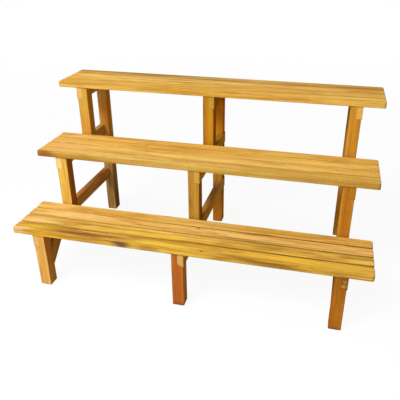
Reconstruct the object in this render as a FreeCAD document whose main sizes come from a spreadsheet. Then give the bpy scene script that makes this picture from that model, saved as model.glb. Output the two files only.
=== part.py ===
import FreeCAD, Part
import math
import os

import Sketcher
from FreeCAD import Placement, Rotation, Vector

# A wooden plant stand in three tiers. Each shelf is four long slats, lying on three frames
# that stand across its length. A frame has a short front leg under each shelf and one full
# rear leg. Horizontal bearers are half-lapped into the legs, one under each shelf, and the
# legs of the upper tiers cross the bearer below. A slanted brace stiffens each frame behind
# the lowest front leg. Square nails hold the slats, the laps and the braces.
#
# X runs along the shelves, Y runs from front to back and Z is up. The origin is on the
# floor, in the middle of the stand's length and depth.

TIERS = ("bottom", "middle", "top")
SLATS_PER_SHELF = 4

# The side of each frame that its bearers are let into: 1 is the right side, -1 the left.
BEARER_SIDE = {"left": -1, "centre": 1, "right": 1}

SIZES = (
    ("shelf_length", 1200, "length of a slat"),
    ("slat_width", 49, "width of a slat"),
    ("slat_thickness", 20, "thickness of a slat"),
    ("slat_gap", 3, "open gap between two slats of a shelf"),
    ("slat_corner_radius", 10, "corners of a slat, seen from above"),
    ("slat_edge_radius", 3, "rounded upper edge of a slat"),
    ("slat_arris", 1.5, "chamfer of a slat's lower long edges"),
    ("first_height", 226, "floor to the top of the bottom shelf"),
    ("tier_rise", 200, "top of one shelf to the top of the next"),
    ("tier_gap", 8, "back edge of one shelf to the front edge of the next, seen from above"),
    ("shelf_overhang", 95, "end of a shelf to the middle of an outer frame's legs"),
    ("leg_width", 40, "leg, along the shelves"),
    ("leg_depth", 40, "leg, from front to back"),
    ("leg_setback", 3, "front edge of a shelf to the front of its leg"),
    ("leg_arris", 1.5, "rounding of a leg's long edges"),
    ("foot_chamfer", 4, "chamfer round a leg's end on the floor"),
    ("lap_depth", 20, "depth of the half laps in a leg"),
    ("bearer_thickness", 22, "bearer, along the shelves"),
    ("bearer_height", 45, "bearer, upright"),
    ("bearer_arris", 1.5, "rounding of a bearer's lower edges"),
    ("brace_thickness", 20, "brace, along the shelves"),
    ("brace_width", 42, "brace, square to its length"),
    ("brace_angle", 43, "slope of the brace above the floor, in degrees"),
    ("brace_end_gap", 27, "upper end of the brace to the next leg"),
    ("nail_side", 1.6, "square section of a nail"),
    ("nail_point", 2.4, "chisel point of a nail"),
    ("nail_set", 0.8, "depth of a nail's head below the wood's surface"),
    ("nail_clearance", 0.1, "gap between a nail and its hole, all round"),
    ("long_nail_length", 50, "nail through a slat or the toe of a brace"),
    ("short_nail_length", 35, "nail through a leg or the head of a brace"),
    ("slat_nail_spacing", 24, "between the two nails of a slat on one frame"),
    ("lap_nail_spacing", 20, "between the two nails of a lap, upright"),
    ("lap_nail_stagger", 10, "between the two nails of a lap, along the bearer"),
    ("toe_nail_height", 28, "lowest corner of the brace to its toe nail"),
)

doc = FreeCAD.newDocument("tiered_plant_stand")
sheet = doc.addObject("Spreadsheet::Sheet", "sizes")
for row, (alias, size, note) in enumerate(SIZES, 1):
    sheet.set(f"A{row}", note)
    sheet.set(f"B{row}", str(size))
    sheet.setAlias(f"B{row}", alias)
doc.recompute()

# Distances that several pieces share, as expressions on the sheet.

SLAT_PITCH = "(sizes.slat_width + sizes.slat_gap)"
SHELF_DEPTH = f"({SLATS_PER_SHELF} * {SLAT_PITCH} - sizes.slat_gap)"
TIER_RUN = f"({SHELF_DEPTH} + sizes.tier_gap)"
BACK = f"(({len(TIERS) - 1} * {TIER_RUN} + {SHELF_DEPTH}) / 2)"
REAR_LEG_FRONT = f"({BACK} - sizes.leg_depth)"
NAIL_HOLE = "(sizes.nail_side + 2 * sizes.nail_clearance)"

BRACE_REACH = f"({TIER_RUN} - sizes.leg_depth - sizes.brace_end_gap)"
BRACE_RISE = f"({BRACE_REACH} * tan(sizes.brace_angle))"
BRACE_TOP_CUT = "(sizes.brace_width / sin(sizes.brace_angle))"
BRACE_TOE_CUT = "(sizes.brace_width / cos(sizes.brace_angle))"
TOE_NAIL_GRIP = (
    "((sizes.toe_nail_height - sizes.nail_side / 2) / tan(sizes.brace_angle) - sizes.nail_set)"
)


def size_of(expression):
    """The value of an expression on the sheet."""
    return float(sheet.evalExpression(expression))


def shelf_front(tier):
    return f"({tier} * {TIER_RUN} - {BACK})"


def leg_front(tier):
    return f"({shelf_front(tier)} + sizes.leg_setback)"


def seat_height(tier):
    """Where the slats of a tier lie on its bearers and legs."""
    return f"(sizes.first_height + {tier} * sizes.tier_rise - sizes.slat_thickness)"


def bearer_foot(tier):
    return f"({seat_height(tier)} - sizes.bearer_height)"


def slat_middle(tier, slat):
    return f"({shelf_front(tier)} + {slat} * {SLAT_PITCH} + sizes.slat_width / 2)"


def leg_middle(frame):
    """Middle of a frame's legs; the centre frame's bearers are in the middle of the stand."""
    if frame == "centre":
        return "(sizes.lap_depth - sizes.leg_width / 2 - sizes.bearer_thickness / 2)"
    return f"({BEARER_SIDE[frame]} * (sizes.shelf_length / 2 - sizes.shelf_overhang))"


def lap_plane(frame):
    """The plane where a frame's bearers lie against its legs and its brace."""
    return f"({leg_middle(frame)} + {BEARER_SIDE[frame]} * (sizes.leg_width / 2 - sizes.lap_depth))"


def bearer_middle(frame):
    return f"({lap_plane(frame)} + {BEARER_SIDE[frame]} * sizes.bearer_thickness / 2)"


def brace_middle(frame):
    return f"({lap_plane(frame)} - {BEARER_SIDE[frame]} * sizes.brace_thickness / 2)"


def brace_centre_line(height):
    """How far behind the leg the middle of the brace is, at a height above its toe."""
    return f"({height} / tan(sizes.brace_angle) - {BRACE_TOP_CUT} / 2)"


def slat_nail_pair(middle):
    """The two nails across a slat, around its middle."""
    return [f"({middle} + {way} * sizes.slat_nail_spacing / 2)" for way in (-1, 1)]


def lap_nail_pair(along, up):
    """The two nails of a lap, around its middle: the lower one is nearer the front."""
    return [
        (
            f"({along} + {way} * sizes.lap_nail_stagger / 2)",
            f"({up} + {way} * sizes.lap_nail_spacing / 2)",
        )
        for way in (-1, 1)
    ]


def brace_nail_pair():
    """The two nails in the head of a brace: how far behind the leg, and how far below its top."""
    depths = [f"((sizes.bearer_height + {way} * sizes.lap_nail_spacing) / 2)" for way in (-1, 1)]
    return [(brace_centre_line(f"({BRACE_RISE} - {depth})"), depth) for depth in depths]


# Helpers for bodies, sketches and features.

def new_body(label):
    body = doc.addObject("PartDesign::Body", label)
    body.Label = label
    return body


def place(body, x, y, z):
    """Bind the place of a body's own origin."""
    for axis, expression in zip("xyz", (x, y, z)):
        body.setExpression(f"Placement.Base.{axis}", expression)


def new_sketch(body, role, offset=None):
    """A sketch on one of the body's origin planes, moved along the plane's normal."""
    sketch = body.newObject("Sketcher::SketchObject", f"{body.Name}_sketch")
    plane = next(part for part in body.Origin.OriginFeatures if part.Role == role)
    sketch.AttachmentSupport = [(plane, "")]
    sketch.MapMode = "FlatFace"
    if offset:
        sketch.setExpression("AttachmentOffset.Base.z", offset)
    return sketch


def bind_point(sketch, geometry, vertex, x, y):
    """Tie a point of a sketch to expressions for its two coordinates."""
    for kind, expression, axis in (("DistanceX", x, -2), ("DistanceY", y, -1)):
        if expression == "0":
            sketch.addConstraint(Sketcher.Constraint("PointOnObject", geometry, vertex, axis))
        else:
            distance = size_of(expression)
            index = sketch.addConstraint(Sketcher.Constraint(kind, -1, 1, geometry, vertex, distance))
            sketch.setExpression(f"Constraints[{index}]", expression)


def draw_polygon(sketch, corners):
    """A closed outline through corners given as pairs of expressions."""
    points = [Vector(size_of(x), size_of(y), 0) for x, y in corners]
    first = sketch.GeometryCount
    count = len(points)
    for number, point in enumerate(points):
        sketch.addGeometry(Part.LineSegment(point, points[(number + 1) % count]), False)
    for number, (x, y) in enumerate(corners):
        following = first + (number + 1) % count
        sketch.addConstraint(Sketcher.Constraint("Coincident", first + number, 2, following, 1))
        bind_point(sketch, first + number, 1, x, y)


def draw_rectangle(sketch, left, low, width, height):
    x, y, across, up = (size_of(expression) for expression in (left, low, width, height))
    points = [Vector(x, y), Vector(x + across, y), Vector(x + across, y + up), Vector(x, y + up)]
    first = sketch.GeometryCount
    for number, point in enumerate(points):
        sketch.addGeometry(Part.LineSegment(point, points[(number + 1) % 4]), False)
    for number in range(4):
        following = first + (number + 1) % 4
        direction = ("Horizontal", "Vertical")[number % 2]
        sketch.addConstraint(Sketcher.Constraint("Coincident", first + number, 2, following, 1))
        sketch.addConstraint(Sketcher.Constraint(direction, first + number))
    bind_point(sketch, first, 1, left, low)
    for kind, side, expression in (("DistanceX", first, width), ("DistanceY", first + 1, height)):
        length = Sketcher.Constraint(kind, side, 1, side, 2, size_of(expression))
        sketch.setExpression(f"Constraints[{sketch.addConstraint(length)}]", expression)


def draw_nail_hole(sketch, x, y):
    left, low = (f"({middle} - {NAIL_HOLE} / 2)" for middle in (x, y))
    draw_rectangle(sketch, left, low, NAIL_HOLE, NAIL_HOLE)


def draw_corner(sketch, x, y, x_way, y_way):
    """What rounding takes off a slat's corner: two straight sides, with an arc between them."""
    radius = "sizes.slat_corner_radius"
    inner_x, inner_y = f"({x} + {x_way} * {radius})", f"({y} + {y_way} * {radius})"
    ends = [(x, inner_y), (inner_x, y)]
    if x_way != y_way:
        ends.reverse()
    corner, centre, start, end = (
        Vector(size_of(along), size_of(across)) for along, across in ((x, y), (inner_x, inner_y), *ends)
    )
    angle = math.atan2(start.y - centre.y, start.x - centre.x)
    circle = Part.Circle(centre, Vector(0, 0, 1), size_of(radius))
    first = sketch.addGeometry(Part.LineSegment(corner, start), False)
    arc = sketch.addGeometry(Part.ArcOfCircle(circle, angle, angle + math.pi / 2), False)
    last = sketch.addGeometry(Part.LineSegment(end, corner), False)
    for side, following in ((first, arc), (arc, last), (last, first)):
        sketch.addConstraint(Sketcher.Constraint("Coincident", side, 2, following, 1))
    bind_point(sketch, first, 1, x, y)
    bind_point(sketch, arc, 1, *ends[0])
    bind_point(sketch, arc, 2, *ends[1])
    rounding = sketch.addConstraint(Sketcher.Constraint("Radius", arc, size_of(radius)))
    sketch.setExpression(f"Constraints[{rounding}]", radius)


def pad(body, sketch, length):
    feature = body.newObject("PartDesign::Pad", f"{body.Name}_pad")
    feature.Profile = sketch
    feature.setExpression("Length", length)
    doc.recompute()
    return feature


def pocket(body, sketch, along_normal, depth=None):
    """Cut a sketch out of the body, to a depth or right through."""
    before = body.Tip.Shape.Volume
    feature = body.newObject("PartDesign::Pocket", f"{body.Name}_pocket")
    feature.Profile = sketch
    feature.Reversed = along_normal
    if depth:
        feature.setExpression("Length", depth)
    else:
        feature.Type = "ThroughAll"
    doc.recompute()
    if feature.Shape.Volume >= before:
        raise RuntimeError(f"{feature.Label} cuts nothing")
    return feature


def dress(body, kind, edge_test, size_name, expression):
    """Fillet or chamfer the edges of the body's last feature that pass a test."""
    base = body.Tip
    names = [f"Edge{number}" for number, edge in enumerate(base.Shape.Edges, 1) if edge_test(edge)]
    feature = body.newObject(f"PartDesign::{kind}", f"{body.Name}_{kind.lower()}")
    feature.Base = (base, names)
    feature.setExpression(size_name, expression)
    doc.recompute()
    if not feature.Shape.isValid():
        raise RuntimeError(f"{feature.Label} is not a valid shape")
    return feature


def upright(edge):
    return edge.BoundBox.XLength + edge.BoundBox.YLength < 1e-6


def level_at(height):
    """A test for edges that lie wholly at one height."""
    return lambda edge: abs(edge.BoundBox.ZMin - height) + abs(edge.BoundBox.ZMax - height) < 1e-6


def long_at(height, direction):
    """A test for straight edges at one height that run along X or Y."""
    across = {"X": "YLength", "Y": "XLength"}[direction]
    return lambda edge: level_at(height)(edge) and getattr(edge.BoundBox, across) < 1e-6


def make_slat(tier, slat):
    """One board of a shelf, with rounded ends and upper edges and two nail holes on each frame."""
    body = new_body(f"{TIERS[tier]}_shelf_slat_{slat + 1}")
    outline = new_sketch(body, "XY_Plane")
    draw_rectangle(outline, "0", "0", "sizes.shelf_length", "sizes.slat_width")
    pad(body, outline, "sizes.slat_thickness")
    top = size_of("sizes.slat_thickness")
    dress(body, "Fillet", level_at(top), "Radius", "sizes.slat_edge_radius")
    dress(body, "Chamfer", long_at(0, "X"), "Size", "sizes.slat_arris")
    corners = new_sketch(body, "XY_Plane")
    for x, x_way in (("0", 1), ("sizes.shelf_length", -1)):
        for y, y_way in (("0", 1), ("sizes.slat_width", -1)):
            draw_corner(corners, x, y, x_way, y_way)
    pocket(body, corners, True)
    nail_holes = new_sketch(body, "XY_Plane")
    for frame in BEARER_SIDE:
        for across in slat_nail_pair("sizes.slat_width / 2"):
            draw_nail_hole(nail_holes, f"({bearer_middle(frame)} + sizes.shelf_length / 2)", across)
    pocket(body, nail_holes, True)
    front = f"{shelf_front(tier)} + {slat} * {SLAT_PITCH}"
    place(body, "-sizes.shelf_length / 2", front, seat_height(tier))
    return body


def cut_laps(body, side, lap_feet):
    """Half laps across a leg, on the bearers' side, with nail holes through what is left.

    The cuts run past the rounded edges on both faces of the leg.
    """
    seat = "sizes.leg_width - sizes.lap_depth" if side > 0 else "sizes.lap_depth"
    laps = new_sketch(body, "YZ_Plane", seat)
    width = "(sizes.leg_depth + 2 * sizes.leg_arris)"
    for foot in lap_feet:
        draw_rectangle(laps, "-sizes.leg_arris", foot, width, "sizes.bearer_height")
    pocket(body, laps, side > 0)
    nail_holes = new_sketch(body, "YZ_Plane")
    for foot in lap_feet:
        for along, up in lap_nail_pair("sizes.leg_depth / 2", f"{foot} + sizes.bearer_height / 2"):
            draw_nail_hole(nail_holes, along, up)
    pocket(body, nail_holes, True)


def make_leg(label, frame, front, foot, laps, on_floor):
    """A square leg with half laps at the heights where bearers cross it."""
    body = new_body(label)
    section = new_sketch(body, "XY_Plane")
    draw_rectangle(section, "0", "0", "sizes.leg_width", "sizes.leg_depth")
    pad(body, section, f"{laps[-1]} + sizes.bearer_height - {foot}")
    if on_floor:
        dress(body, "Chamfer", level_at(0), "Size", "sizes.foot_chamfer")
    dress(body, "Fillet", upright, "Radius", "sizes.leg_arris")
    lap_feet = ["0" if lap == foot else f"({lap} - {foot})" for lap in laps]
    cut_laps(body, BEARER_SIDE[frame], lap_feet)
    place(body, f"{leg_middle(frame)} - sizes.leg_width / 2", front, foot)
    return body


def make_front_leg(frame, tier):
    """The bottom leg stands on the floor; the others stand on the bearer below, past its side."""
    label = f"{frame}_{TIERS[tier]}_leg"
    if tier > 0:
        laps = (bearer_foot(tier - 1), bearer_foot(tier))
        return make_leg(label, frame, leg_front(tier), laps[0], laps, False)
    leg = make_leg(label, frame, leg_front(tier), "0", (bearer_foot(tier),), True)
    toe_hole = new_sketch(leg, "XZ_Plane", "-sizes.leg_depth")
    across = f"({brace_middle(frame)} - {leg_middle(frame)} + sizes.leg_width / 2)"
    up = f"({seat_height(0)} - {BRACE_RISE} + sizes.toe_nail_height)"
    draw_nail_hole(toe_hole, across, up)
    pocket(leg, toe_hole, True, f"sizes.long_nail_length - {TOE_NAIL_GRIP} + sizes.nail_clearance")
    return leg


def make_rear_leg(frame):
    laps = [bearer_foot(tier) for tier in range(len(TIERS))]
    return make_leg(f"{frame}_rear_leg", frame, REAR_LEG_FRONT, "0", laps, True)


def lap_fronts(tier):
    """Front faces of the legs that cross a tier's bearer, measured along the bearer."""
    fronts = ["0"]
    if tier + 1 < len(TIERS):
        fronts.append(TIER_RUN)
    fronts.append(f"({REAR_LEG_FRONT} - {leg_front(tier)})")
    return fronts


def make_bearer(frame, tier):
    """A rail on edge, from the front of its tier's leg to the back of the rear leg."""
    body = new_body(f"{frame}_{TIERS[tier]}_bearer")
    side = BEARER_SIDE[frame]
    plan = new_sketch(body, "XY_Plane")
    length = f"({BACK} - {leg_front(tier)})"
    draw_rectangle(plan, "0", "0", "sizes.bearer_thickness", length)
    pad(body, plan, "sizes.bearer_height")
    dress(body, "Fillet", long_at(0, "Y"), "Radius", "sizes.bearer_arris")

    slat_nails = new_sketch(body, "XY_Plane", "sizes.bearer_height")
    for slat in range(SLATS_PER_SHELF):
        for along in slat_nail_pair(f"{slat_middle(tier, slat)} - {leg_front(tier)}"):
            draw_nail_hole(slat_nails, "sizes.bearer_thickness / 2", along)
    past_slat = "sizes.long_nail_length + sizes.nail_set - sizes.slat_thickness"
    pocket(body, slat_nails, False, f"{past_slat} + sizes.nail_clearance")

    near_face = None if side > 0 else "sizes.bearer_thickness"
    lap_nails = new_sketch(body, "YZ_Plane", near_face)
    for front in lap_fronts(tier):
        for along, up in lap_nail_pair(f"{front} + sizes.leg_depth / 2", "sizes.bearer_height / 2"):
            draw_nail_hole(lap_nails, along, up)
    past_leg = "sizes.short_nail_length + sizes.nail_set - (sizes.leg_width - sizes.lap_depth)"
    pocket(body, lap_nails, side > 0, f"{past_leg} + sizes.nail_clearance")
    if tier == 0:
        brace_nails = new_sketch(body, "YZ_Plane", near_face)
        for behind, depth in brace_nail_pair():
            draw_nail_hole(brace_nails, f"({behind} + sizes.leg_depth)", f"(sizes.bearer_height - {depth})")
        past_brace = "sizes.short_nail_length + sizes.nail_set - sizes.brace_thickness"
        pocket(body, brace_nails, side > 0, f"{past_brace} + sizes.nail_clearance")

    near_side = lap_plane(frame) if side > 0 else f"{lap_plane(frame)} - sizes.bearer_thickness"
    place(body, near_side, leg_front(tier), bearer_foot(tier))
    return body


def make_brace(frame):
    """A slanted strut from the back of the bottom leg to the underside of the slats."""
    body = new_body(f"{frame}_brace")
    side = BEARER_SIDE[frame]
    outline = new_sketch(body, "YZ_Plane")
    draw_polygon(outline, (
        ("0", "0"),
        (BRACE_REACH, BRACE_RISE),
        (f"{BRACE_REACH} - {BRACE_TOP_CUT}", BRACE_RISE),
        ("0", BRACE_TOE_CUT),
    ))
    pad(body, outline, "sizes.brace_thickness")

    head_holes = new_sketch(body, "YZ_Plane")
    for behind, depth in brace_nail_pair():
        draw_nail_hole(head_holes, behind, f"({BRACE_RISE} - {depth})")
    pocket(body, head_holes, True)
    toe_hole = new_sketch(body, "XZ_Plane")
    draw_nail_hole(toe_hole, "sizes.brace_thickness / 2", "sizes.toe_nail_height")
    pocket(body, toe_hole, False)

    near_side = f"{lap_plane(frame)} - sizes.brace_thickness" if side > 0 else lap_plane(frame)
    toe = f"{seat_height(0)} - {BRACE_RISE}"
    place(body, near_side, f"{leg_front(0)} + sizes.leg_depth", toe)
    return body


def nail_shape(length):
    """A square nail with its head at the origin and its chisel point along Z."""
    half = size_of("sizes.nail_side") / 2
    shoulder = length - size_of("sizes.nail_point")
    side = ((-half, 0), (half, 0), (half, shoulder), (0, length), (-half, shoulder))
    points = [Vector(x, -half, z) for x, z in side]
    return Part.Face(Part.makePolygon(points + points[:1])).extrude(Vector(0, 2 * half, 0))


def nail_group(label, spots):
    """Nails in one group of separate solids, each from the place of its head, a way and a length."""
    nails = []
    for head, way, length in spots:
        nail = nail_shape(size_of(length))
        position = Vector(*(size_of(expression) for expression in head))
        nail.Placement = Placement(position, Rotation(Vector(0, 0, 1), Vector(*way)))
        nails.append(nail)
    group = doc.addObject("Part::Feature", label)
    group.Label = label
    group.Shape = Part.makeCompound(nails)
    return group


def make_shelf_nails(tier):
    """Nails driven down through a shelf's slats into the bearers."""
    height = f"{seat_height(tier)} + sizes.slat_thickness - sizes.nail_set"
    spots = []
    for frame in BEARER_SIDE:
        for slat in range(SLATS_PER_SHELF):
            for across in slat_nail_pair(slat_middle(tier, slat)):
                head = (bearer_middle(frame), across, height)
                spots.append((head, (0, 0, -1), "sizes.long_nail_length"))
    return nail_group(f"{TIERS[tier]}_shelf_nails", spots)


def make_lap_nails(frame):
    """Nails through the legs into the bearers, two at every lap of a frame."""
    side = BEARER_SIDE[frame]
    wood = "(sizes.leg_width - sizes.lap_depth - sizes.nail_set)"
    spots = []
    for tier in range(len(TIERS)):
        middle_height = f"{bearer_foot(tier)} + sizes.bearer_height / 2"
        for front in lap_fronts(tier):
            middle = f"{leg_front(tier)} + {front} + sizes.leg_depth / 2"
            for along, up in lap_nail_pair(middle, middle_height):
                head = (f"{lap_plane(frame)} - {side} * {wood}", along, up)
                spots.append((head, (side, 0, 0), "sizes.short_nail_length"))
    return nail_group(f"{frame}_lap_nails", spots)


def make_brace_nails(frame):
    """Two nails through the brace's head into the bearer, and one through its toe into the leg."""
    side = BEARER_SIDE[frame]
    leg_back = f"({leg_front(0)} + sizes.leg_depth)"
    wood = "(sizes.brace_thickness - sizes.nail_set)"
    spots = []
    for behind, depth in brace_nail_pair():
        across = f"{lap_plane(frame)} - {side} * {wood}"
        head = (across, f"{leg_back} + {behind}", f"{seat_height(0)} - {depth}")
        spots.append((head, (side, 0, 0), "sizes.short_nail_length"))
    toe = f"({seat_height(0)} - {BRACE_RISE})"
    head = (brace_middle(frame), f"{leg_back} + {TOE_NAIL_GRIP}", f"{toe} + sizes.toe_nail_height")
    spots.append((head, (0, -1, 0), "sizes.long_nail_length"))
    return nail_group(f"{frame}_brace_nails", spots)


sub_parts = []
for tier in range(len(TIERS)):
    for slat in range(SLATS_PER_SHELF):
        sub_parts.append(make_slat(tier, slat))
    sub_parts.append(make_shelf_nails(tier))
for frame in BEARER_SIDE:
    for tier in range(len(TIERS)):
        sub_parts.append(make_front_leg(frame, tier))
        sub_parts.append(make_bearer(frame, tier))
    sub_parts.append(make_rear_leg(frame))
    sub_parts.append(make_brace(frame))
    sub_parts.append(make_lap_nails(frame))
    sub_parts.append(make_brace_nails(frame))

doc.recompute()
for item in doc.Objects:
    if "Invalid" in item.State or "Error" in item.State:
        raise RuntimeError(f"{item.Label} did not compute")
for sub_part in sub_parts:
    if sub_part.Shape.isNull() or not sub_part.Shape.isValid():
        raise RuntimeError(f"{sub_part.Label} has no valid shape")

os.makedirs("parts", exist_ok=True)
for sub_part in sub_parts:
    sub_part.Shape.exportStep(f"parts/{sub_part.Label}.step")

whole = Part.makeCompound([sub_part.Shape for sub_part in sub_parts]).BoundBox
print(f"{len(sub_parts)} sub-parts, {whole.XLength:.1f} x {whole.YLength:.1f} x {whole.ZLength:.1f} mm")
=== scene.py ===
import math

import bpy
from mathutils import Euler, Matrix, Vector


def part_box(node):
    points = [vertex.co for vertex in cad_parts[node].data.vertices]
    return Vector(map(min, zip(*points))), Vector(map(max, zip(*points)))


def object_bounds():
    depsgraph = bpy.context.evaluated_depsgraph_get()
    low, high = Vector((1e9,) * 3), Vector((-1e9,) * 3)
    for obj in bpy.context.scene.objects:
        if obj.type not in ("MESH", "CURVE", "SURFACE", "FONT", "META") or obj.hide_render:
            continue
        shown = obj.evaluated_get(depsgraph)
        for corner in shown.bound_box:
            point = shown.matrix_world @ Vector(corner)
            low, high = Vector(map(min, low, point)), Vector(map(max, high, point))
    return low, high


# The looks of a wooden plant stand in three tiers: oiled hardwood with its grain along each
# member, on a pale floor under soft studio light. X runs along the shelves, Y from front to
# back and Z up, in metres. The shapes are the frame's own; here they only get their materials.

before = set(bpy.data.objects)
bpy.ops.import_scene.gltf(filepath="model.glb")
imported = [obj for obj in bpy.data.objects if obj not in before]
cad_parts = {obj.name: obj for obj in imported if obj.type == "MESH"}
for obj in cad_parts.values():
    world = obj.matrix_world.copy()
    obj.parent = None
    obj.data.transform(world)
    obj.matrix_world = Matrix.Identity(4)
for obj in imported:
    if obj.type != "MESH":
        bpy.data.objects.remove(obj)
cad_low, cad_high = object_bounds()


# Colours, given as 0 to 255 values of a display.

def linear(share):
    """A display value of 0 to 1 as light, by the sRGB curve."""
    return share / 12.92 if share <= 0.04045 else ((share + 0.055) / 1.055) ** 2.4


def tone(red, green, blue):
    """A display colour as a shader takes it. A tint above 255 brightens."""
    return (*(linear(value / 255) for value in (red, green, blue)), 1.0)


WHITE = (1.0, 1.0, 1.0, 1.0)
YELLOWING = tone(255, 250, 205)
REDDENING = tone(255, 238, 238)
UMBER = tone(92, 54, 24)
# Painted shade: the brown that darkens the gaps between slats.
GAP_SHADE_BROWN = tone(112, 64, 14)
DUSK = tone(96, 60, 44)
ZINC = tone(170, 168, 160)

# Each wood has a pale, a main and a deep colour in its grain.

WOODS = {
    "straw": (tone(242, 206, 134), tone(232, 182, 98), tone(196, 134, 60)),
    "yellow": (tone(240, 200, 92), tone(224, 178, 72), tone(168, 108, 34)),
    "honey": (tone(244, 202, 110), tone(228, 178, 82), tone(180, 120, 42)),
    "peach": (tone(246, 202, 118), tone(230, 180, 90), tone(180, 118, 48)),
    "wheat": (tone(230, 192, 106), tone(212, 168, 78), tone(168, 114, 40)),
    "fawn": (tone(226, 180, 104), tone(210, 160, 82), tone(170, 114, 46)),
    "walnut": (tone(166, 108, 36), tone(152, 96, 30), tone(118, 66, 18)),
    "tan": (tone(238, 192, 118), tone(222, 168, 86), tone(186, 122, 48)),
    "flax": (tone(226, 178, 82), tone(206, 156, 60), tone(164, 108, 34)),
    "gold": (tone(222, 166, 66), tone(202, 144, 46), tone(162, 100, 28)),
    "bronze": (tone(198, 154, 66), tone(176, 132, 52), tone(138, 88, 32)),
    "amber": (tone(204, 146, 46), tone(182, 126, 32), tone(142, 82, 20)),
    "mustard": (tone(204, 164, 70), tone(184, 142, 48), tone(148, 98, 30)),
    "olive": (tone(188, 148, 52), tone(168, 126, 36), tone(132, 82, 22)),
    "ochre": (tone(182, 126, 34), tone(164, 106, 26), tone(128, 70, 16)),
    "russet": (tone(204, 138, 46), tone(182, 116, 32), tone(138, 76, 18)),
    "chestnut": (tone(198, 120, 54), tone(180, 104, 40), tone(142, 72, 26)),
}

DEFAULT_WOOD = {"slat": "honey", "leg": "amber", "bearer": "gold", "brace": "gold"}
MEMBER_WOOD = {
    "bottom_shelf_slat_1": "yellow",
    "bottom_shelf_slat_2": "yellow",
    "bottom_shelf_slat_3": "peach",
    "middle_shelf_slat_1": "wheat",
    "top_shelf_slat_3": "peach",
    "top_shelf_slat_4": "wheat",
    "left_bottom_leg": "tan",
    "left_middle_leg": "yellow",
    "left_top_leg": "mustard",
    "left_rear_leg": "honey",
    "centre_bottom_leg": "chestnut",
    "centre_middle_leg": "bronze",
    "centre_rear_leg": "gold",
    "right_bottom_leg": "russet",
    "right_middle_leg": "russet",
    "right_top_leg": "gold",
    "right_rear_leg": "gold",
    "left_bottom_bearer": "fawn",
    "left_middle_bearer": "straw",
    "left_top_bearer": "fawn",
    "centre_bottom_bearer": "fawn",
    "centre_middle_bearer": "mustard",
    "centre_top_bearer": "olive",
    "right_bottom_bearer": "walnut",
    "right_middle_bearer": "ochre",
    "right_top_bearer": "flax",
}

# How strongly flecks show, and bands and lines of the deep colour.

FLECKS = {"bottom_shelf_slat": 0.6, "middle_shelf_slat": 0.25, "top_shelf_slat": 0.3}
OTHER_FLECKS = 0.15
FIGURE = {"slat": 0.75, "leg": 0.5, "bearer": 0.5, "brace": 0.6}
MEMBER_FIGURE = {
    "middle_shelf_slat_1": 0.5,
    "middle_shelf_slat_2": 0.5,
    "middle_shelf_slat_3": 0.55,
    "left_middle_leg": 0.4,
}

# Painted light and shade: tints that darken, or above 255 brighten, the faces that a slat turns
# to the front and back, by its tier, and those that the other members turn to the left and right,
# by their kind, as the light falls on them. Some members have their own.

LIGHT_AND_SHADE_TINTS = {
    "bottom": tone(252, 248, 218),
    "middle": tone(232, 230, 212),
    "top": tone(244, 248, 238),
    "leg": tone(255, 226, 172),
    "bearer": tone(292, 278, 216),
    "brace": tone(240, 226, 210),
    "left_middle_bearer": tone(280, 262, 195),
    "centre_middle_bearer": tone(316, 304, 226),
    "left_top_leg": tone(300, 282, 200),
    "centre_bottom_leg": tone(302, 350, 340),
    "left_middle_leg": tone(219, 169, 156),
}

# How strongly dark heartwood streaks show in a member.

DEFAULT_STREAKS = {"slat": 0.18, "leg": 0.14, "bearer": 0.12, "brace": 0.14}
MEMBER_STREAKS = {
    "bottom_shelf_slat_1": 0.28,
    "bottom_shelf_slat_2": 0.27,
    "bottom_shelf_slat_3": 0.24,
    "bottom_shelf_slat_4": 0.24,
    "top_shelf_slat_4": 0.28,
}

# Patches of another tone in a member. Each has its place, its half lengths, its tone and how
# strongly it shows. A place is measured from the member's own middle: first along the grain, to
# the right, the back or up, and then across it, to the back in slats and legs and to the left in
# bearers. A third measure, up in slats and bearers and to the left in legs, ends the patch
# there too. Without one it runs through the member.

# The heart brown and the rust red below also paint the shadow of the shelves on the rear legs.
HEART_AND_SHADE_BROWN = tone(112, 66, 32)
OLIVE = tone(150, 108, 30)
LEMON = tone(238, 198, 60)
CREAM = tone(246, 208, 138)
ROSE = tone(206, 124, 66)
VIOLET = tone(100, 60, 52)
PLUM = tone(124, 76, 44)
RUST_AND_SHADE_RED = tone(160, 72, 20)
EMBER = tone(216, 122, 28)
# Painted light: a bright orange that lifts the shaded parts of the rear legs.
PAINTED_LIGHT_ORANGE = tone(244, 148, 30)
HONEYCOMB = tone(208, 154, 34)
MARIGOLD = tone(220, 144, 56)
SMOKE = tone(112, 84, 66)
KHAKI = tone(164, 118, 82)
BARK = tone(144, 88, 42)
APRICOT = tone(224, 172, 106)
MUSTARD = tone(208, 158, 66)

FRONT_EDGE = -0.0255
FOOT = -0.103
BEARER_FRONT = -0.31
LEFT_STRIP = 0.017
ALL_ALONG = 0.30
ALL_ACROSS = 0.06

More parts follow.
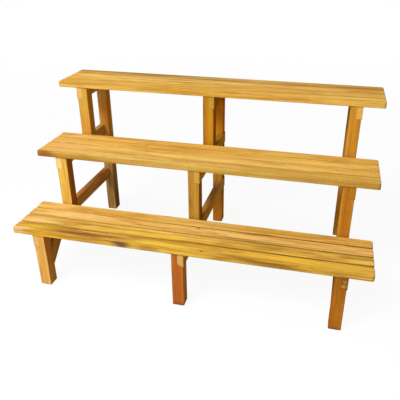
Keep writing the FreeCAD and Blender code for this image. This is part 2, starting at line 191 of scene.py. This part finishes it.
PATCHES = {
    "bottom_shelf_slat_1": (
        ((-0.50, 0.004), (0.12, 0.022), LEMON, 0.45),
        ((-0.58, -0.020), (0.06, 0.020), CREAM, 0.45),
        ((-0.35, -0.006), (0.17, 0.018), PLUM, 0.9),
        ((-0.20, FRONT_EDGE), (0.05, 0.007), VIOLET, 0.9),
        ((-0.11, FRONT_EDGE), (0.07, 0.006), HEART_AND_SHADE_BROWN, 0.5),
        ((-0.33, FRONT_EDGE), (0.10, 0.006), BARK, 0.35),
        ((-0.20, 0.004), (0.12, 0.010), HEART_AND_SHADE_BROWN, 0.5),
        ((-0.43, 0.010), (0.12, 0.012), OLIVE, 0.6),
        ((-0.04, -0.006), (0.20, 0.020), LEMON, 0.6),
        ((0.36, 0.0), (0.26, 0.020), LEMON, 0.4),
        ((0.16, FRONT_EDGE), (0.22, 0.007), OLIVE, 0.4),
        ((0.30, FRONT_EDGE), (0.14, 0.006), HEART_AND_SHADE_BROWN, 0.55),
        ((0.50, FRONT_EDGE), (0.12, 0.006), BARK, 0.4),
    ),
    "bottom_shelf_slat_2": (
        ((-0.54, 0.0), (0.12, 0.030), CREAM, 0.6),
        ((-0.10, -0.012), (0.18, 0.014), LEMON, 0.5),
        ((-0.30, 0.010), (0.12, 0.010), OLIVE, 0.4),
        ((0.22, 0.014), (0.30, 0.012), OLIVE, 0.5),
    ),
    "bottom_shelf_slat_3": (
        ((-0.42, 0.0), (0.22, 0.030), CREAM, 0.5),
        ((0.16, -0.018), (0.30, 0.010), OLIVE, 0.45),
        ((0.40, 0.0), (0.30, 0.030), MUSTARD, 0.5),
    ),
    "bottom_shelf_slat_4": (((0.20, 0.0), (0.50, 0.020), OLIVE, 0.3),),
    "middle_shelf_slat_1": (
        ((-0.57, -0.024), (0.07, 0.014), BARK, 0.9),
        ((-0.52, 0.012), (0.12, 0.026), APRICOT, 0.75),
        ((0.30, 0.014), (0.28, 0.010), OLIVE, 0.35),
    ),
    "middle_shelf_slat_2": (((-0.50, 0.0), (0.14, 0.030), APRICOT, 0.75),),
    "middle_shelf_slat_3": (((-0.53, 0.0), (0.12, 0.030), APRICOT, 0.75),),
    "middle_shelf_slat_4": (((-0.57, 0.0), (0.08, 0.030), ROSE, 0.4),),
    "top_shelf_slat_3": (((-0.20, 0.008), (0.34, 0.012), OLIVE, 0.35),),
    "top_shelf_slat_4": (
        ((-0.24, 0.010), (0.44, 0.020), SMOKE, 0.6),
        ((0.05, 0.024), (0.55, 0.008), BARK, 0.6),
    ),
    # Painted light and shade: the bright orange patch is painted light between the shelves, and
    # the red one at the top is painted shadow under the top shelf.
    "left_rear_leg": (
        ((0.16, 0.0), (0.12, ALL_ACROSS), PAINTED_LIGHT_ORANGE, 0.55),
        ((0.29, 0.0), (0.04, ALL_ACROSS), RUST_AND_SHADE_RED, 0.4),
        ((-0.12, 0.0), (0.20, ALL_ACROSS), KHAKI, 0.7),
        ((-0.26, 0.0), (0.12, ALL_ACROSS), SMOKE, 0.7),
    ),
    "left_bottom_bearer": (
        ((0.05, 0.0), (0.22, ALL_ACROSS), ROSE, 0.35),
        ((0.22, 0.0), (0.08, ALL_ACROSS), RUST_AND_SHADE_RED, 0.5),
    ),
    "left_middle_bearer": (((0.12, 0.0), (0.14, ALL_ACROSS), HEART_AND_SHADE_BROWN, 0.25),),
    "left_top_leg": (((-0.04, 0.0), (0.12, ALL_ACROSS), MARIGOLD, 0.5),),
    "left_bottom_leg": (((FOOT, 0.0), (0.012, ALL_ACROSS), HEART_AND_SHADE_BROWN, 0.4),),
    # Painted light and shade: the bright orange patches are painted light, the red one at the top
    # is painted shadow under the top shelf and the brown one in the middle painted shade under the
    # middle shelf.
    "centre_rear_leg": (
        ((0.16, 0.0), (0.14, ALL_ACROSS), PAINTED_LIGHT_ORANGE, 0.8),
        ((0.00, 0.0), (0.10, ALL_ACROSS), HEART_AND_SHADE_BROWN, 0.6),
        ((-0.24, 0.0), (0.14, ALL_ACROSS), PAINTED_LIGHT_ORANGE, 0.75),
        ((0.27, 0.0), (0.05, ALL_ACROSS), RUST_AND_SHADE_RED, 0.7),
    ),
    "centre_bottom_leg": (
        ((-0.05, 0.0), (0.08, 0.030), RUST_AND_SHADE_RED, 0.35),
        ((FOOT, 0.0), (0.018, ALL_ACROSS), HEART_AND_SHADE_BROWN, 0.8),
    ),
    "centre_bottom_bearer": (
        ((BEARER_FRONT, 0.0), (0.04, ALL_ACROSS), BARK, 0.15),
        ((BEARER_FRONT, 0.012, -0.024), (0.04, 0.018, 0.015), RUST_AND_SHADE_RED, 0.9),
    ),
    "centre_top_leg": (
        ((0.0, 0.0, -0.006), (ALL_ALONG, ALL_ACROSS, 0.014), HONEYCOMB, 0.5),
        ((0.0, 0.0, LEFT_STRIP), (ALL_ALONG, ALL_ACROSS, 0.010), HEART_AND_SHADE_BROWN, 0.6),
    ),
    "right_middle_leg": (
        ((0.0, 0.0, LEFT_STRIP), (ALL_ALONG, ALL_ACROSS, 0.008), MUSTARD, 0.6),
    ),
    "right_bottom_leg": (
        ((-0.09, 0.0), (0.06, 0.030), RUST_AND_SHADE_RED, 0.5),
        ((FOOT, 0.0), (0.018, ALL_ACROSS), HEART_AND_SHADE_BROWN, 0.7),
        ((0.03, 0.008), (0.08, 0.014), OLIVE, 0.7),
    ),
    "right_bottom_bearer": (
        ((BEARER_FRONT, 0.0), (0.04, ALL_ACROSS), HEART_AND_SHADE_BROWN, 0.5),
        ((BEARER_FRONT, 0.002, -0.011), (0.04, 0.011, 0.010), MUSTARD, 0.6),
        ((BEARER_FRONT, 0.000, 0.006), (0.04, 0.010, 0.008), MUSTARD, 0.4),
    ),
    "right_rear_leg": (((-0.12, 0.0), (0.16, 0.04), EMBER, 0.55),),
    "right_top_leg": (
        ((-0.10, 0.0), (0.08, 0.030), RUST_AND_SHADE_RED, 0.35),
        ((0.0, 0.0, LEFT_STRIP), (ALL_ALONG, ALL_ACROSS, 0.008), MUSTARD, 0.5),
    ),
}

# Knots, with their middle, measured as a patch's place is, and their radius. A member without
# one gets one that lies far outside it.

KNOTS = {
    "bottom_shelf_slat_1": ((0.068, -0.013, 0.0), 0.004),
    "bottom_shelf_slat_3": ((0.023, 0.020, 0.0), 0.003),
    "middle_shelf_slat_3": ((-0.23, 0.010, 0.0), 0.003),
}
FAR_OFF_KNOT = ((9.0, 9.0, 9.0), 0.001)


# Node helpers. Where one takes a number, a colour or a vector, it also takes another node's
# socket.

def set_input(tree, socket, value):
    """Links a value that is a node's socket, and sets any other."""
    if isinstance(value, bpy.types.NodeSocket):
        tree.links.new(value, socket)
    else:
        socket.default_value = value


def add_node(tree, kind, inputs=None, **settings):
    """A node with its settings and inputs."""
    node = tree.nodes.new(kind)
    for name, value in settings.items():
        setattr(node, name, value)
    for name, value in (inputs or {}).items():
        set_input(tree, node.inputs[name], value)
    return node


def math_node(tree, operation, *values):
    node = add_node(tree, "ShaderNodeMath", dict(enumerate(values)), operation=operation)
    return node.outputs[0]


def vector_node(tree, operation, *values):
    node = add_node(tree, "ShaderNodeVectorMath", dict(enumerate(values)), operation=operation)
    return node.outputs["Value" if operation in ("LENGTH", "DOT_PRODUCT") else "Vector"]


def product(tree, first, *others):
    for other in others:
        first = math_node(tree, "MULTIPLY", first, other)
    return first


def weighted_sum(tree, total, *terms):
    """A number, and others added to it, each times its own weight."""
    for value, weight in terms:
        total = math_node(tree, "MULTIPLY_ADD", value, weight, total)
    return total


def split(tree, vector):
    """The sockets X, Y and Z of a vector."""
    return add_node(tree, "ShaderNodeSeparateXYZ", {"Vector": vector}).outputs


def step_node(tree, value, low, high):
    """0 below low, 1 above high and a smooth rise between them."""
    inputs = {"Value": value, "From Min": low, "From Max": high}
    node = add_node(tree, "ShaderNodeMapRange", inputs, interpolation_type="SMOOTHSTEP")
    return node.outputs["Result"]


def within(tree, distance, inner, outer):
    """1 inside an inner distance, 0 outside an outer one and a smooth fall between them."""
    return math_node(tree, "SUBTRACT", 1.0, step_node(tree, distance, inner, outer))


def noise_node(tree, position, cells, detail, roughness):
    """Noise of about 0 to 1, with so many cells per metre on each axis."""
    scaled = vector_node(tree, "MULTIPLY", position, cells)
    inputs = {"Vector": scaled, "Scale": 1.0, "Detail": detail, "Roughness": roughness}
    return add_node(tree, "ShaderNodeTexNoise", inputs, noise_dimensions="3D").outputs["Fac"]


# The mix node has sockets of the same names for numbers, vectors and colours, so those for
# colours are taken by number.

MIX_FACTOR, MIX_FIRST, MIX_SECOND = 0, 6, 7
MIX_RESULT = 2


def mix_node(tree, factor, first, second, blend="MIX"):
    inputs = {MIX_FACTOR: factor, MIX_FIRST: first, MIX_SECOND: second}
    node = add_node(tree, "ShaderNodeMix", inputs, data_type="RGBA", blend_type=blend)
    return node.outputs[MIX_RESULT]


# Wood. The texture is solid: it follows the rings of the tree through each member.

GROUP_INPUTS = {
    "NodeSocketVector": ("Position", "Local", "Heart", "Knot middle"),
    "NodeSocketColor": ("Pale", "Main", "Deep", "End tint", "Light and shade tint"),
    "NodeSocketFloat": (
        "Streaks", "Flecks", "Figure", "Knot radius", "Edge", "End grain", "Gap shade", "Side",
    ),
}
GROUP_OUTPUTS = {
    "NodeSocketColor": ("Color",),
    "NodeSocketFloat": ("Roughness", "Relief"),
}

# Rings: their width, the shares of it over which late wood rises and ends, how far noise moves
# them across the grain, with its cells per metre, and how fast the trunk tapers.

RING_PITCH = 0.0042
LATE_WOOD_RISE = (0.35, 0.88)
LATE_WOOD_END = (0.90, 1.0)
WANDER = 0.012
WANDER_CELLS = (2.2, 11.0, 11.0)
WANDER_DETAIL = 2.0
TAPER = 0.035

# A knot runs through the member and is drawn out along the grain. Its dark heart, and the
# swelling of the rings round it, fade out between two distances, in radii of the knot.

KNOT_SQUEEZE = (0.5, 1.0, 0.0)
KNOT_HEART = (0.5, 1.2)
KNOT_SWELLING = (0.0, 4.5)
KNOT_SWELL = 0.006

# The wood's noises: cells per metre along the grain and across it, detail and roughness.

NOISES = {
    "clouds": (1.6, 22.0, 2.0, 0.5),
    "drift": (2.1, 26.0, 3.0, 0.6),
    "bands": (2.4, 95.0, 3.0, 0.6),
    "lines": (3.5, 260.0, 2.0, 0.5),
    "blots": (7.0, 34.0, 3.0, 0.6),
    "flecks": (9.0, 230.0, 2.0, 0.5),
    "streaks": (2.6, 85.0, 4.0, 0.62),
    "fibres": (16.0, 1100.0, 2.0, 0.6),
    "pores": (110.0, 2600.0, 1.0, 0.5),
}

# The values of a noise between which its effect changes from nothing to full, or, where it
# fades, from full to nothing. Streaks start lower by as much as a member's own number says.

CLOUDS_SHOW = (0.40, 0.66)
YELLOW_SHOWS = (0.50, 0.66)
ROSY_FADES = (0.36, 0.50)
BANDS_SHOW = (0.46, 0.70)
LINES_SHOW = (0.55, 0.72)
BLOTS_SHOW = (0.48, 0.72)
FLECKS_SHOW = (0.56, 0.70)
FIBRES_SHOW = (0.45, 0.80)
PORES_SHOW = (0.62, 0.72)
WEAR_SHOWS = (0.30, 0.60)
STREAKS_START = 0.82
STREAKS_RISE = 0.14

# How much of its tone each effect brings at its strongest.

DRIFT_SHARE = 0.55
LINE_SHARE = 0.6
BLOT_SHARE = 0.5
RING_SHARE = 0.18
STREAK_SHARE = 0.7
FIBRE_SHARE = 0.20
PORE_SHARE = 0.40
KNOT_SHARE = 0.85
END_GRAIN_SHARE = 0.6
LEAST_WEAR = 0.3
MORE_WEAR = 0.4

BASE_ROUGHNESS = 0.5
PORE_ROUGHNESS = 0.2
BAND_ROUGHNESS = 0.14
BASE_RELIEF = 0.5
LATE_WOOD_RELIEF = 0.35
FIBRE_RELIEF = 0.35
PORE_RELIEF = -0.6


def knot_shares(tree, given):
    """How far a place is in a knot, and in the swelling of the rings round it."""
    offset = vector_node(tree, "SUBTRACT", given["Local"], given["Knot middle"])
    squeezed = vector_node(tree, "MULTIPLY", offset, KNOT_SQUEEZE)
    length = vector_node(tree, "LENGTH", squeezed)
    radii = math_node(tree, "DIVIDE", length, given["Knot radius"])
    return within(tree, radii, *KNOT_HEART), within(tree, radii, *KNOT_SWELLING)


def bent_place(tree, place):
    """A place that noise has moved across the grain."""
    scaled = vector_node(tree, "MULTIPLY", place, WANDER_CELLS)
    inputs = {"Vector": scaled, "Scale": 1.0, "Detail": WANDER_DETAIL}
    noise = add_node(tree, "ShaderNodeTexNoise", inputs).outputs["Color"]
    centred = vector_node(tree, "SUBTRACT", noise, (0.5, 0.5, 0.5))
    drift = vector_node(tree, "MULTIPLY", centred, (0.0, WANDER, WANDER))
    return vector_node(tree, "ADD", place, drift)


def late_wood_share(tree, place, heart, swelling):
    """The late wood in the rings round the heart of a trunk that tapers."""
    from_heart = split(tree, vector_node(tree, "ADD", place, heart))
    inputs = {"Y": from_heart["Y"], "Z": from_heart["Z"]}
    across = add_node(tree, "ShaderNodeCombineXYZ", inputs).outputs["Vector"]
    radius = vector_node(tree, "LENGTH", across)
    depth = weighted_sum(tree, radius, (from_heart["X"], TAPER), (swelling, KNOT_SWELL))
    in_ring = math_node(tree, "FRACT", math_node(tree, "DIVIDE", depth, RING_PITCH))
    rise = step_node(tree, in_ring, *LATE_WOOD_RISE)
    return math_node(tree, "SUBTRACT", rise, step_node(tree, in_ring, *LATE_WOOD_END))


def wood_colour(tree, given, noises, late_wood, pores, knot):
    """The wood's main and pale colours, and what lies over them, from the lowest layer up."""
    yellow = step_node(tree, noises["drift"], *YELLOW_SHOWS)
    rosy = within(tree, noises["drift"], *ROSY_FADES)
    bands = step_node(tree, noises["bands"], *BANDS_SHOW)
    lines = step_node(tree, noises["lines"], *LINES_SHOW)
    blots = step_node(tree, noises["blots"], *BLOTS_SHOW)
    flecks = step_node(tree, noises["flecks"], *FLECKS_SHOW)
    start = math_node(tree, "SUBTRACT", STREAKS_START, given["Streaks"])
    full = math_node(tree, "ADD", start, STREAKS_RISE)
    streaks = step_node(tree, noises["streaks"], start, full)
    fibres = step_node(tree, noises["fibres"], *FIBRES_SHOW)
    worn = step_node(tree, noises["lines"], *WEAR_SHOWS)
    wear = weighted_sum(tree, LEAST_WEAR, (worn, MORE_WEAR))
    layers = (
        (YELLOWING, "MULTIPLY", (yellow, DRIFT_SHARE)),
        (REDDENING, "MULTIPLY", (rosy, DRIFT_SHARE)),
        (given["Deep"], "MIX", (bands, given["Figure"])),
        (given["Deep"], "MIX", (lines, given["Figure"], LINE_SHARE)),
        (given["Deep"], "MIX", (blots, BLOT_SHARE)),
        (UMBER, "MIX", (flecks, given["Flecks"])),
        (given["Deep"], "MIX", (late_wood, RING_SHARE)),
        (DUSK, "MIX", (streaks, STREAK_SHARE)),
        (given["Deep"], "MIX", (fibres, FIBRE_SHARE)),
        (UMBER, "MIX", (pores, PORE_SHARE)),
        (UMBER, "MIX", (knot, KNOT_SHARE)),
        (given["End tint"], "MIX", (given["End grain"], END_GRAIN_SHARE)),
        # Painted light and shade: side faces darkened, or brightened above 255, by their tint.
        (given["Light and shade tint"], "MULTIPLY", (given["Side"],)),
        (UMBER, "MIX", (given["Edge"], wear)),
        # Painted shade in the gaps between slats.
        (GAP_SHADE_BROWN, "MIX", (given["Gap shade"],)),
    )
    clouds = step_node(tree, noises["clouds"], *CLOUDS_SHOW)
    colour = mix_node(tree, clouds, given["Main"], given["Pale"])
    for layer_tone, blend, shares in layers:
        colour = mix_node(tree, product(tree, *shares), colour, layer_tone, blend)
    return colour


def build_wood_group():
    """A node group that turns a place in the tree into colour, roughness and relief."""
    tree = bpy.data.node_groups.new("oiled_hardwood", "ShaderNodeTree")
    for way, sockets in (("INPUT", GROUP_INPUTS), ("OUTPUT", GROUP_OUTPUTS)):
        for kind, names in sockets.items():
            for name in names:
                tree.interface.new_socket(name, in_out=way, socket_type=kind)
    given = tree.nodes.new("NodeGroupInput").outputs

    knot, swelling = knot_shares(tree, given)
    place = bent_place(tree, given["Position"])
    late_wood = late_wood_share(tree, place, given["Heart"], swelling)
    noises = {
        name: noise_node(tree, place, (along, across, across), detail, roughness)
        for name, (along, across, detail, roughness) in NOISES.items()
    }
    pores = step_node(tree, noises["pores"], *PORES_SHOW)
    roughening = ((pores, PORE_ROUGHNESS), (noises["bands"], BAND_ROUGHNESS))
    rising = (
        (late_wood, LATE_WOOD_RELIEF),
        (noises["fibres"], FIBRE_RELIEF),
        (pores, PORE_RELIEF),
    )
    results = {
        "Color": wood_colour(tree, given, noises, late_wood, pores, knot),
        "Roughness": weighted_sum(tree, BASE_ROUGHNESS, *roughening),
        "Relief": weighted_sum(tree, BASE_RELIEF, *rising),
    }
    add_node(tree, "NodeGroupOutput", results)
    return tree


WOOD = build_wood_group()

# Every member is cut from a tree of its own. The trees stand apart along the noises. A tree's
# heart lies beside the member, at one of several distances on each of the two axes across the
# grain: the least, the step between them and their number.

TREE_SPACING = 3.7
HEART_DISTANCES = ((0.035, 0.011, 5), (0.028, 0.009, 4))

RELIEF_DEPTH = 0.0004
RELIEF_STRENGTH = 0.6
EDGE_WIDTH = 0.0028
END_GRAIN_FACING = (0.7, 0.95)
SIDE_FACING = (0.6, 0.9)
SPECULAR = 0.0

# Painted shade in the gaps: a dark brown on the sides of slats that face another slat stands
# in for the shade between them. It fades out between two distances from those sides. It grows
# from the left to the right.

GAP_SHADE_SHARES = {"bottom": 0.7, "middle": 0.12, "top": 0.25}
GAP_SHADE_FADES = (0.0008, 0.0046)
GAP_SHADE_GROWTH = (-0.5, 0.3)
LEAST_GAP_SHADE = 0.25
MORE_GAP_SHADE = 0.75
GAP_SHADE_BORDER = 0.001

# A patch's border is ragged by noise. It fades out between two distances from its middle, in
# half lengths and with the noise added.

RAG_CELLS = (5.0, 150.0, 60.0)
RAG_DETAIL = 4.0
RAG_ROUGHNESS = 0.65
RAG_DEPTH = 1.8
PATCH_FADES = (1.05, 1.9)


def kind_of(name):
    return next(kind for kind in DEFAULT_WOOD if kind in name)


def grain_turn(name, half):
    """The turn that brings a member's grain to X. It follows the longest side, or the slope."""
    if name.endswith("_brace"):
        return Euler((-math.atan2(half.z, half.y), 0.0, -math.pi / 2))
    longest = max(range(3), key=lambda axis: half[axis])
    turns = ((0.0, 0.0, 0.0), (0.0, 0.0, -math.pi / 2), (0.0, math.pi / 2, 0.0))
    return Euler(turns[longest])


def edge_share(tree, depths):
    """How near a place is to an arris: by the second smallest of its depths below the faces."""
    nearer = math_node(tree, "MINIMUM", depths["X"], depths["Y"])
    farther = math_node(tree, "MAXIMUM", depths["X"], depths["Y"])
    second = math_node(tree, "MAXIMUM", nearer, math_node(tree, "MINIMUM", farther, depths["Z"]))
    return within(tree, second, 0.0, EDGE_WIDTH)


def gap_shade_share(tree, name, local, depths):
    """Painted shade on the sides of a slat that face another slat of its shelf: the gaps darkened.
    """
    place = split(tree, local)
    growth = step_node(tree, place["X"], *GAP_SHADE_GROWTH)
    strength = weighted_sum(tree, LEAST_GAP_SHADE, (growth, MORE_GAP_SHADE))
    strength = product(tree, strength, GAP_SHADE_SHARES[name.split("_")[0]])
    share = product(tree, within(tree, depths["Y"], *GAP_SHADE_FADES), strength)
    if name.endswith("_1"):
        share = product(tree, share, step_node(tree, place["Y"], 0.0, GAP_SHADE_BORDER))
    if name.endswith("_4"):
        share = product(tree, share, within(tree, place["Y"], -GAP_SHADE_BORDER, 0.0))
    return share


def add_patch(tree, colour, local, middle, reach, patch_tone, strength):
    """A patch of another tone. With two half lengths it runs right through the member."""
    squeeze = [1 / length for length in reach]
    offset = vector_node(tree, "SUBTRACT", local, (*middle, 0.0)[:3])
    squeezed = vector_node(tree, "MULTIPLY", offset, (*squeeze, 0.0)[:3])
    rag = noise_node(tree, local, RAG_CELLS, RAG_DETAIL, RAG_ROUGHNESS)
    distance = weighted_sum(tree, vector_node(tree, "LENGTH", squeezed), (rag, RAG_DEPTH))
    share = product(tree, within(tree, distance, *PATCH_FADES), strength)
    return mix_node(tree, share, colour, patch_tone)


def new_material(name):
    """A material, its node tree and its shader's inputs."""
    material = bpy.data.materials.new(name)
    material.use_nodes = True
    tree = material.node_tree
    return material, tree, tree.nodes["Principled BSDF"].inputs


def wood_material(name, number):
    low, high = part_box(name)
    middle, half = (low + high) / 2, (high - low) / 2
    kind = kind_of(name)
    group = name.split("_")[0] if kind == "slat" else kind
    pale, main, deep = WOODS[MEMBER_WOOD.get(name, DEFAULT_WOOD[kind])]
    knot_middle, knot_radius = KNOTS.get(name, FAR_OFF_KNOT)

    material, tree, shader = new_material(f"{name}_wood")
    spot = tree.nodes.new("ShaderNodeTexCoord").outputs
    local = vector_node(tree, "SUBTRACT", spot["Object"], tuple(middle))
    depth = vector_node(tree, "SUBTRACT", tuple(half), vector_node(tree, "ABSOLUTE", local))
    depths = split(tree, depth)

    turn = grain_turn(name, half)
    inputs = {"Vector": local, "Rotation": tuple(turn)}
    turned = add_node(tree, "ShaderNodeVectorRotate", inputs, rotation_type="EULER_XYZ").outputs[0]
    facing = vector_node(tree, "DOT_PRODUCT", spot["Normal"], tuple(turn.to_matrix()[0]))
    aside = split(tree, spot["Normal"])["Y" if kind == "slat" else "X"]

    in_tree = number * TREE_SPACING
    heart = [least + step * (number % places) for least, step, places in HEART_DISTANCES]
    inputs = {
        "Position": vector_node(tree, "ADD", turned, (in_tree, 0.0, 0.0)),
        "Local": turned,
        "Heart": (-in_tree, *heart),
        "Pale": pale,
        "Main": main,
        "Deep": deep,
        "End tint": pale if kind == "bearer" else deep,
        # Painted light and shade on the side faces.
        "Light and shade tint": LIGHT_AND_SHADE_TINTS.get(name, LIGHT_AND_SHADE_TINTS[group]),
        "Flecks": FLECKS.get(name.rsplit("_", 1)[0], OTHER_FLECKS),
        "Figure": MEMBER_FIGURE.get(name, FIGURE[kind]),
        "Streaks": MEMBER_STREAKS.get(name, DEFAULT_STREAKS[kind]),
        "Knot middle": knot_middle,
        "Knot radius": knot_radius,
        "Edge": 0.0 if kind == "brace" else edge_share(tree, depths),
        "End grain": step_node(tree, math_node(tree, "ABSOLUTE", facing), *END_GRAIN_FACING),
        "Side": step_node(tree, math_node(tree, "ABSOLUTE", aside), *SIDE_FACING),
        # Painted shade in the gaps between slats.
        "Gap shade": gap_shade_share(tree, name, local, depths) if kind == "slat" else 0.0,
    }
    wood = add_node(tree, "ShaderNodeGroup", inputs, node_tree=WOOD).outputs
    colour = wood["Color"]
    for patch in PATCHES.get(name, ()):
        colour = add_patch(tree, colour, turned, *patch)
    relief = {"Height": wood["Relief"], "Distance": RELIEF_DEPTH, "Strength": RELIEF_STRENGTH}
    bump = add_node(tree, "ShaderNodeBump", relief).outputs["Normal"]

    shader["Specular IOR Level"].default_value = SPECULAR
    set_input(tree, shader["Base Color"], colour)
    set_input(tree, shader["Roughness"], wood["Roughness"])
    set_input(tree, shader["Normal"], bump)
    return material


# Nails, of galvanized steel with its spangles.

SPANGLE_CELLS = (900.0, 900.0, 900.0)
SPANGLE_DETAIL = 2.0
SPANGLE_ROUGHNESS = 0.5
STEEL_ROUGHNESS = 0.35
DULLING = 0.3


def steel_material():
    material, tree, shader = new_material("galvanized_steel")
    place = tree.nodes.new("ShaderNodeTexCoord").outputs["Object"]
    spangle = noise_node(tree, place, SPANGLE_CELLS, SPANGLE_DETAIL, SPANGLE_ROUGHNESS)
    shader["Metallic"].default_value = 1.0
    set_input(tree, shader["Base Color"], mix_node(tree, spangle, ZINC, UMBER))
    set_input(tree, shader["Roughness"], weighted_sum(tree, STEEL_ROUGHNESS, (spangle, DULLING)))
    return material


STEEL = steel_material()
for number, (name, piece) in enumerate(sorted(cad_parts.items())):
    material = STEEL if name.endswith("_nails") else wood_material(name, number)
    piece.data.materials.clear()
    piece.data.materials.append(material)


# Floor and backdrop: white to the camera, and a plain pale floor that keeps the shadow. The
# floor turns fully white between two distances from the stand's middle.

FLOOR_SIZE = 30.0
FLOOR_SEEN = 0.95
FLOOR_BOUNCE = 0.42
FLOOR_WHITE_SHARE = 0.93
FLOOR_TURNS_WHITE = (1.2, 4.0)
WORLD_LIGHT = 0.25


def grey(level):
    return (level, level, level, 1.0)


def seen_share(tree):
    """1 for rays from the camera, also off a glossy face or through glass, and 0 for others."""
    path = tree.nodes.new("ShaderNodeLightPath").outputs
    seen = math_node(tree, "MAXIMUM", path["Is Camera Ray"], path["Is Glossy Ray"])
    return math_node(tree, "MAXIMUM", seen, path["Is Transmission Ray"])


def make_floor():
    bpy.ops.mesh.primitive_plane_add(size=FLOOR_SIZE, location=(0.0, 0.0, cad_low.z))
    floor = bpy.context.object
    floor.name = "floor"
    material = bpy.data.materials.new("pale_floor")
    material.use_nodes = True
    tree = material.node_tree
    tree.nodes.clear()
    seen = seen_share(tree)
    place = tree.nodes.new("ShaderNodeTexCoord").outputs["Object"]
    far = step_node(tree, vector_node(tree, "LENGTH", place), *FLOOR_TURNS_WHITE)
    white_share = weighted_sum(tree, FLOOR_WHITE_SHARE, (far, 1.0 - FLOOR_WHITE_SHARE))
    pale = mix_node(tree, seen, grey(FLOOR_BOUNCE), grey(FLOOR_SEEN))
    matt = add_node(tree, "ShaderNodeBsdfDiffuse", {"Color": pale}).outputs[0]
    white = add_node(tree, "ShaderNodeEmission", {"Color": WHITE, "Strength": 1.0}).outputs[0]
    inputs = {0: product(tree, seen, white_share), 1: matt, 2: white}
    mixed = add_node(tree, "ShaderNodeMixShader", inputs).outputs[0]
    add_node(tree, "ShaderNodeOutputMaterial", {"Surface": mixed})
    floor.data.materials.append(material)


def make_world():
    world = bpy.data.worlds.new("studio")
    world.use_nodes = True
    tree = world.node_tree
    tree.nodes.clear()
    inputs = {"Value": seen_share(tree), "To Min": WORLD_LIGHT, "To Max": 1.0}
    strength = add_node(tree, "ShaderNodeMapRange", inputs).outputs["Result"]
    sky = add_node(tree, "ShaderNodeBackground", {"Color": WHITE, "Strength": strength})
    add_node(tree, "ShaderNodeOutputWorld", {"Surface": sky.outputs[0]})
    bpy.context.scene.world = world


make_floor()
make_world()


# Lamps: their places, their sizes and their power in watts.

LAMPS = {
    "key": ((-1.5, -2.7, 3.9), (2.4, 2.0), 262.0),
    "fill": ((-0.2, -3.6, 0.8), (2.0, 0.8), 24.0),
}
LAMP_AIM = Vector((0.0, 0.0, 0.3))


def make_lamp(name, place, size, watts):
    data = bpy.data.lights.new(name, "AREA")
    data.shape = "RECTANGLE"
    data.size, data.size_y = size
    data.energy = watts
    lamp = bpy.data.objects.new(name, data)
    lamp.location = place
    lamp.rotation_euler = (LAMP_AIM - Vector(place)).to_track_quat("-Z", "Y").to_euler()
    bpy.context.scene.collection.objects.link(lamp)


for name, facts in LAMPS.items():
    make_lamp(name, *facts)


# Camera, from a fit of a pinhole camera to the photograph's frame. Its focal length and the
# place where its axis meets the picture are in pixels, and its turns in radians.

FRAME_PIXELS = 400
SENSOR = 36.0
FOCAL_PIXELS = 507.3
AXIS_PIXEL = (210.4, 193.7)
CAMERA_PLACE = (0.4161, -1.6137, 1.1151)
CAMERA_PITCH = -0.4679
CAMERA_YAW = 0.2379


def make_camera():
    data = bpy.data.cameras.new("camera")
    data.sensor_width = SENSOR
    data.lens = SENSOR * FOCAL_PIXELS / FRAME_PIXELS
    data.shift_x = 0.5 - AXIS_PIXEL[0] / FRAME_PIXELS
    data.shift_y = AXIS_PIXEL[1] / FRAME_PIXELS - 0.5
    camera = bpy.data.objects.new("camera", data)
    camera.location = CAMERA_PLACE
    camera.rotation_euler = (math.pi / 2 + CAMERA_PITCH, 0.0, CAMERA_YAW)
    bpy.context.scene.collection.objects.link(camera)
    bpy.context.scene.camera = camera


make_camera()
bpy.context.scene.view_settings.view_transform = "Standard"
